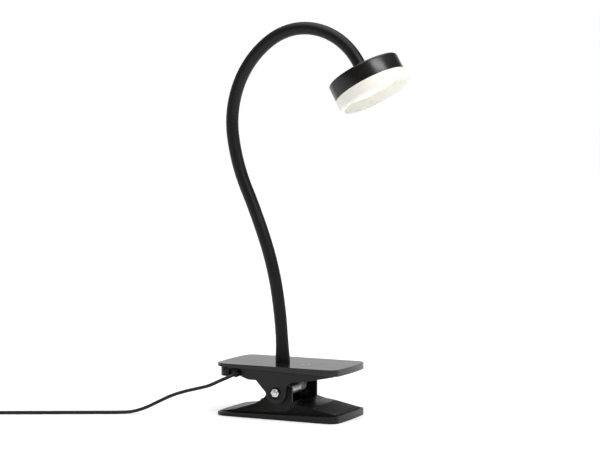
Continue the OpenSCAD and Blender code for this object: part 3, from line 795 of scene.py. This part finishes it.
# ---- cord ----
@dataclass
class Cord:
    """The cord from its strain relief along the floor to its coil and plug."""

    diameter: float = 3.5
    route: tuple[Point, ...] = (
        (-36, -38.5, 43.3), (-37.5, -43, 42.4), (-41, -46.5, 40.6), (-48, -48.6, 37.3),
        (-60, -49.8, 31.8), (-72, -51, 28.4), (-85, -53, 25), (-100, -56, 19.8),
        (-115, -60, 12.4), (-128, -64, 6), (-140, -69, 2.45), (-150, -74, 1.9), (-170, -84, 1.8),
        (-190, -94, 1.8), (-210, -104, 1.8), (-230, -114, 1.8), (-250, -124, 1.8), (-270, -134, 1.8),
        (-285, -141.5, 1.8), (-300, -149, 1.8))
    tail: tuple[Point, ...] = ((-310, -154, 5.2), (-322, -160, 4.8), (-334, -166, 4.1), (-344, -171, 4))
    coil_mid: float = 23.0
    wide: int = 4
    steps: int = 24
    window: float = 1 / 6
    dip: float = 1.3
    tie_width: float = 6.0
    tie_wall: float = 0.35
    tie_round: float = 1.6
    relief: Profile = (
        (1.9, 0), (2.15, 0.3), (2.2, 1.6), (1.95, 1.8), (2.0, 2.6), (2.35, 2.9), (2.45, 4.4), (2.15, 4.6),
        (2.2, 5.5), (2.65, 5.8), (2.75, 7.4), (2.45, 7.6), (2.5, 8.5), (2.95, 8.8), (3.1, 12.0))

    @property
    def outer(self) -> float:
        """Radius of the widest turns' middle line."""
        return self.coil_mid + (self.wide - 1) * self.diameter / 2

    @property
    def centre(self) -> Vector:
        """The coil's centre, square to the route's last stretch."""
        return Vector(self.route[-1]) + Vector((-1, 2, 0)) / math.sqrt(5) * self.outer

    def coil(self) -> list[Point]:
        """Lays the turns inward along the floor, up, and outward on top.

        Returns:
            The coil's points after the route's last one, in millimetres.
        """
        step, outer, centre = self.diameter, self.outer, self.centre
        end = Vector(self.route[-1])
        start = math.atan2(end.y - centre.y, end.x - centre.x)
        radii = [outer - step * i for i in range(self.wide)]
        radii += radii[::-1]
        low, high = self.route[-1][2], self.route[-1][2] + step
        made: list[Point] = []
        for turn, radius in enumerate(radii):
            after = radii[min(turn + 1, len(radii) - 1)]
            for i in range(1, self.steps + 1):
                share = i / self.steps
                s = min(max((share - 1 + self.window) / self.window, 0.0), 1.0)
                s = s * s * (3 - 2 * s)
                r = radius + (after - radius) * s
                z = low if turn < self.wide else high
                if turn == self.wide - 1:
                    z = low + step * s
                    r -= self.dip * math.sin(math.pi * s)
                angle = start - 2 * math.pi * share
                made.append((centre.x + r * math.cos(angle), centre.y + r * math.sin(angle), z))
        return made

    def tie(self, finish: bpy.types.Material) -> bpy.types.Object:
        """Models the soft tie over the coil's turns.

        Args:
            finish: its material.

        Returns:
            The tie.
        """
        half, top = self.wide * self.diameter / 2 + 0.45, 2 * self.diameter + 0.55
        size = (2 * half * MM, self.tie_width * MM, top * MM)
        bench = Bench("coil_tie").block(size, (0, 0, (top / 2 + 0.02) * MM))
        bench.pick(Part.FACE, lambda f: f.normal.z < -0.5 or abs(f.normal.y) > 0.5)
        bpy.ops.mesh.delete(type="FACE")
        bench.tidy().eased(self.tie_round * MM, 4)
        bench.modifier("SOLIDIFY", thickness=self.tie_wall * MM, offset=-1)
        at = (self.centre + Vector((-self.coil_mid, 0, 0))) * MM
        return bench.place(Matrix.Translation((at.x, at.y, 0))).done(finish)

    def build(self, finishes: Finishes) -> None:
        """Lays the cord and dresses what is on it.

        Args:
            finishes: the lamp's materials.
        """
        points = [Vector(p) * MM for p in (*self.route, *self.coil(), *self.tail)]
        line = bpy.data.curves.new("cord_jacket", "CURVE")
        line.dimensions = "3D"
        line.bevel_depth, line.bevel_resolution, line.resolution_u = self.diameter / 2 * MM, 3, 4
        line.use_fill_caps = True
        spline = line.splines.new("BEZIER")
        spline.bezier_points.add(len(points) - 1)
        for knot, point in zip(spline.bezier_points, points):
            knot.co = point
            knot.handle_left_type = knot.handle_right_type = "AUTO"
        cord = bpy.data.objects.new("cord_jacket", line)
        bpy.context.scene.collection.objects.link(cord)
        line.materials.append(finishes.cord)
        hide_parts("cord", "cord_coil", "cord_end")
        settle(cord, Body.CLAMP)
        relief = turned("plug_relief_ribbed", self.relief, 40)
        relief.modifier("BEVEL", width=0.08 * MM, segments=2, limit_method="ANGLE")
        relief.place(self.aimed())
        relief_piece = relief.done(finishes.cord)
        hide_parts("plug_relief")
        grip = eased_copy("plug_grip", "plug_grip_moulded", finishes.cord, 1.1, 3)
        shell = eased_copy("plug_shell", "plug_shell_folded", finishes.bright, 0.25)
        for piece, slot in ((relief_piece, "cord_rubber"), (grip, "cord_rubber"), (shell, "plated_steel")):
            settle(piece, Body.CLAMP)
        tie = settle(self.tie(finishes.bush), Body.CLAMP)

    def aimed(self) -> Matrix:
        """The place of a piece drawn along Z that lies along the plug, from the cord's end."""
        return (Matrix.Translation(Vector(self.tail[-1]) * MM)
                @ Matrix.Rotation(math.atan2(-1, -2), 4, "Z") @ Matrix.Rotation(math.radians(90), 4, "Y"))


# ---- clamp ----
@dataclass
class Clamp:
    """The two sprung halves of the clamp, their pads, pivot and strain relief."""

    pivot: tuple[float, float] = (9.0, 27.0)
    spring_r: float = 7.2
    wire: float = 2.2
    wire_gap: float = 0.5
    turns: int = 7
    turn_steps: int = 16

    def shells(self, finishes: Finishes) -> None:
        """Rounds the moulded shells' edges."""
        top = eased_copy("top_cover", "clamp_top_plate", finishes.plate, 0.8, 3, 40, True)
        upper = eased_copy("upper_jaw", "clamp_upper_shell", finishes.plastic, 0.35, 2, 40)
        low = eased_copy("lower_plate", "clamp_bottom_plate", finishes.plastic, 0.8, 3, 40, True)
        lower = eased_copy("lower_jaw", "clamp_lower_shell", finishes.plastic, 0.35, 2, 40)
        for piece, body in ((top, Body.CLAMP), (upper, Body.CLAMP), (low, Body.JAW), (lower, Body.JAW)):
            settle(piece, body)
        for node, body in (("upper_pad", Body.CLAMP), ("lower_pad", Body.JAW)):
            settle(eased_copy(node, node + "_ribbed", finishes.pad, 0.4, 3), body)

    def strain_relief(self, finishes: Finishes) -> None:
        """Rounds the strain relief's block in the notch."""
        bulk = eased_copy("cord_bush", "cord_bush_block", finishes.bush, 0.12, 2, 50)
        settle(bulk, Body.CLAMP)

    def pivot_set(self, finishes: Finishes) -> None:
        """Rounds the nut, bolt, washers and bush at the pivot, and winds the spring."""
        nut = eased_copy("pivot_nut", "pivot_nut_chamfered", finishes.bright, 0.3, 2)
        bolt = eased_copy("pivot_bolt", "pivot_bolt_eased", finishes.bright, 0.25, 2)
        washers = eased_copy("pivot_washers", "pivot_washers_eased", finishes.nylon, 0.1, 2)
        bush = eased_copy("spring_bush", "spring_bush_eased", finishes.nylon, 0.3, 2)
        for piece, slot in ((nut, "plated_steel"), (bolt, "plated_steel"), (washers, "washer_plastic"),
                            (bush, "washer_plastic")):
            settle(piece, Body.CLAMP)
        self.spring(finishes)

    def spring(self, finishes: Finishes) -> None:
        """Winds the torsion spring's wire in place, with one leg reaching each jaw."""
        x0, z0 = self.pivot
        pitch, steps = self.wire + self.wire_gap, self.turn_steps
        start = -self.turns * pitch / 2
        coil = []
        for i in range(int((self.turns + 0.5) * steps) + 1):
            a = math.radians(90 + 360 * i / steps)
            coil.append((x0 + self.spring_r * math.cos(a), start + pitch * i / steps,
                         z0 + self.spring_r * math.sin(a)))
        end = coil[-1][1]
        upper = [(-21, start, 38.4), (-14, start, 37.9), (0, start, z0 + self.spring_r + 0.6)]
        lower = [(0, end, z0 - self.spring_r - 0.8), (-13, end, 17.2), (-20, end, 14.6)]
        path = [(x, -y, z) for x, y, z in upper + coil + lower]
        line = bpy.data.curves.new("jaw_spring_wire", "CURVE")
        line.dimensions = "3D"
        line.bevel_depth, line.bevel_resolution, line.use_fill_caps = self.wire / 2 * MM, 3, True
        spline = line.splines.new("POLY")
        spline.points.add(len(path) - 1)
        for knot, point in zip(spline.points, path):
            knot.co = (*(c * MM for c in point), 1)
        wire = bpy.data.objects.new("jaw_spring_wire", line)
        bpy.context.scene.collection.objects.link(wire)
        Bench.clear()
        wire.select_set(True)
        bpy.context.view_layer.objects.active = wire
        bpy.ops.object.convert(target="MESH")
        bench = Bench("jaw_spring_wire").adopt().tidy()
        piece = bench.done(finishes.steel)
        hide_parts("jaw_spring")
        first, last = (-start - self.wire / 2) * MM, (-end + self.wire / 2) * MM
        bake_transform(piece)
        LOG.info("%s twists between %s and %s", piece.name, Body.CLAMP.value, Body.JAW.value)

    def build(self, finishes: Finishes) -> None:
        """Builds the clamp.

        Args:
            finishes: the lamp's materials.
        """
        self.shells(finishes)
        self.strain_relief(finishes)
        self.pivot_set(finishes)
        dress(finishes.steel, "cover_screws", "clip_screws", "lower_screws")
        dress(finishes.plastic, "cord_clip")
        dress(finishes.cord, "cord_lead")
        dress(finishes.board, "touch_board")
        dress(finishes.package, "board_parts")
        dress(finishes.brass, "touch_contact")


# ---- neck ----
@dataclass
class Neck:
    """The sleeved gooseneck: eight bending zones between two collars."""

    bends: tuple[float, ...] = (-7, -10.5, -5, 16.5, 31.5, 33, 48.5, 46)
    zone: float = 57.0
    lean: float = 2.0
    foot: float = 12.0
    clamp_top: float = 54.0
    sleeve_r: float = 6.44
    wall: float = 1.3
    across: int = 48
    steps: int = 20
    flare_r: float = 6.93
    flare_l: float = 16.0
    foot_profile: Profile = (
        (4.55, 11.99), (4.55, 2.2), (6.7, 2.0), (6.7, -0.35), (7.45, -0.35), (7.5, 0.5), (7.48, 2.2),
        (7.42, 4.2), (7.32, 6.8), (7.12, 9.4), (6.98, 11.6), (6.94, 11.99))
    crown_profile: Profile = (
        (4.55, 0.03), (6.4, 0.03), (6.55, 0.6), (6.95, 2.2), (7.55, 4.0), (8.1, 6.0), (8.42, 7.4),
        (8.45, 7.95), (5.45, 7.95), (5.45, 1.9))
    foot_gap: float = 0.04
    ends: list[tuple[float, float, float]] = field(default_factory=list)

    def __post_init__(self) -> None:
        """Works out each zone's start: x, z and heading from straight up."""
        lean = math.radians(self.lean)
        x, z, h = -self.foot * math.sin(lean), self.clamp_top + self.foot * math.cos(lean), -self.lean
        self.ends.append((x, z, h))
        for bend in self.bends:
            r = self.zone / math.radians(bend)
            a, b = math.radians(h), math.radians(h + bend)
            x += r * (math.cos(a) - math.cos(b))
            z += r * (math.sin(b) - math.sin(a))
            h += bend
            self.ends.append((x, z, h))

    def sleeve(self, k: int, finishes: Finishes) -> None:
        """Models one zone of sleeve by spinning a circle round the zone's centre of curvature.

        Args:
            k: the zone, counted from 1.
            finishes: the lamp's materials.
        """
        x, z, h = self.ends[k - 1]
        a = math.radians(h)
        bend = self.bends[k - 1]
        r = self.zone / math.radians(bend) * MM
        bench = Bench(f"neck_sleeve_{k}_soft")
        bench.circle(self.sleeve_r * MM, (x * MM, 0, z * MM), self.across, (0, a, 0))
        bpy.ops.mesh.select_all(action="SELECT")
        centre = (x * MM + r * math.cos(a), 0, z * MM - r * math.sin(a))
        bpy.ops.mesh.spin(steps=self.steps, angle=math.radians(abs(bend)), center=centre,
                          axis=(0, -1 if bend > 0 else 1, 0))
        bench.tidy()
        if k == 1:
            self.taper(bench)
        bench.modifier("SOLIDIFY", thickness=self.wall * MM, offset=-1)
        piece = bench.done(finishes.sleeve, 60)
        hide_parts(f"neck_sleeve_{k}")
        before = Body.CLAMP.value if k == 1 else f"neck_link_{k - 1}"
        after = Body.HEAD.value if k == len(self.bends) else f"neck_link_{k}"
        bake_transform(piece)
        LOG.info("%s between %s and %s", piece.name, before, after)

    def taper(self, bench: Bench) -> None:
        """Widens the rings of the first piece towards the foot, ring by ring.

        Args:
            bench: the bench with the open tube of the first zone, in edit mode.
        """
        x, z, h = self.ends[0]
        ring = self.zone / self.steps
        along = Vector((math.sin(math.radians(h)), 0, math.cos(math.radians(h))))
        for i in range(int(self.flare_l / ring) + 1):
            t = ring * i
            grown = 1 + (self.flare_r / self.sleeve_r - 1) * (1 - t / self.flare_l) ** 1.3
            at = Vector((x + t * along.x, 0, z + t * along.z)) * MM
            bench.pick(Part.VERT, lambda v: abs(
                ((bench.piece.matrix_world @ v.co) - at).dot(along)) < ring * 0.4 * MM)
            bpy.ops.transform.resize(value=(grown, grown, 1), center_override=at)

    @staticmethod
    def stand(x: float, z: float, heading: float) -> Matrix:
        """The place of a piece drawn along Z at a point of the neck, along a heading."""
        return Matrix.Translation((x * MM, 0, z * MM)) @ Matrix.Rotation(math.radians(heading), 4, "Y")

    def build(self, finishes: Finishes) -> None:
        """Builds the neck.

        Args:
            finishes: the lamp's materials.
        """
        for k in range(1, len(self.bends) + 1):
            self.sleeve(k, finishes)
        foot = turned("neck_foot_boot", self.foot_profile, 64, True)
        foot.place(self.stand(0, self.clamp_top, -self.lean))
        piece = foot.seated((self.clamp_top + self.foot_gap) * MM).done(finishes.collar)
        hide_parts("neck_foot_collar")
        settle(piece, Body.CLAMP)
        crown = turned("neck_crown_boot", self.crown_profile, 64, True)
        piece = crown.place(self.stand(*self.ends[-1])).done(finishes.collar)
        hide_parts("neck_crown_collar")
        settle(piece, Body.HEAD)
        cores = [f"neck_core_{k}" for k in range(len(self.ends))]
        dress(finishes.steel, *cores, "neck_foot_nut", "neck_crown_nut")
        dress(finishes.brass, "neck_foot_ferrule", "neck_crown_ferrule")


# ---- head ----
@dataclass
class Head:
    """The round head: cap, frosted ring, milky panel and what is inside."""

    cap_z: float = 8.0
    cap_h: float = 17.1
    ring_h: float = 13.0
    cap_r: float = 37.7
    ring_r: float = 37.9
    ring_wall: float = 3.6
    recess: float = 10.0
    panel_t: float = 1.6
    cap_wall: float = 2.0
    bore_r: float = 5.02
    lip_w: float = 1.4
    lip_h: float = 3.2
    count: int = 160

    def build(self, finishes: Finishes, neck: Neck) -> None:
        """Builds the head at the end of the neck.

        Args:
            finishes: the lamp's materials.
            neck: the neck that carries it.
        """
        ring_z = self.cap_z + self.cap_h
        end = ring_z + self.ring_h
        panel_z = end - self.recess - self.panel_t
        inner = self.ring_r - self.ring_wall
        inside, floor_z = self.cap_r - self.cap_wall, self.cap_z + self.cap_wall
        cap_profile = rounded([(self.bore_r, self.cap_z), (self.cap_r, self.cap_z), (self.cap_r, ring_z),
                               (inside, ring_z), (inside, floor_z), (self.bore_r, floor_z)],
                              {1: 2.4, 2: 0.25, 4: 1.2}, 6)
        cap = turned("head_cap_spun", cap_profile, self.count, True)
        lip_z, seat_z, lip_r, gap = ring_z - self.lip_h, ring_z + 0.04, inside - 0.06, 0.03
        ring_profile = rounded([(inner - self.lip_w, lip_z), (lip_r, lip_z), (lip_r, seat_z),
                                (self.ring_r, seat_z), (self.ring_r, end), (inner, end),
                                (inner, panel_z - gap), (inner - self.lip_w, panel_z - gap)],
                               {3: 0.35, 4: 3.3, 5: 0.9}, 8)
        ring = turned("light_ring_frosted", ring_profile, self.count, True)
        panel_r = inner - 0.1
        face_z, core_r = panel_z + self.panel_t, 0.4
        panel_profile = rounded([(core_r, panel_z), (panel_r, panel_z), (panel_r, face_z), (core_r, face_z)],
                                {1: 0.3, 2: 0.4}, 4)
        panel = turned("light_panel_milky", panel_profile, 128)
        for bench, finish, node, slot in ((cap, finishes.cap, "head_cap", "cap_metal"),
                                          (ring, finishes.ring, "light_ring", "opal_ring"),
                                          (panel, finishes.panel, "light_panel", "panel_white")):
            piece = bench.place(neck.stand(*neck.ends[-1])).done(finish, 30)
            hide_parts(node)
            settle(piece, Body.HEAD)
        dress(finishes.alu, "heat_sink")
        dress(finishes.steel, "heat_sink_screws")
        dress(finishes.white_board, "led_board")
        dress(finishes.phosphor, "led_chips")


def main() -> None:
    """Builds the studio and every sub-assembly."""
    logging.basicConfig(level=logging.INFO, format="%(name)s: %(message)s")
    Studio().build()
    finishes = Finishes()
    Cord().build(finishes)
    Clamp().build(finishes)
    neck = Neck()
    neck.build(finishes)
    Head().build(finishes, neck)


if __name__ == "__main__":
    main()
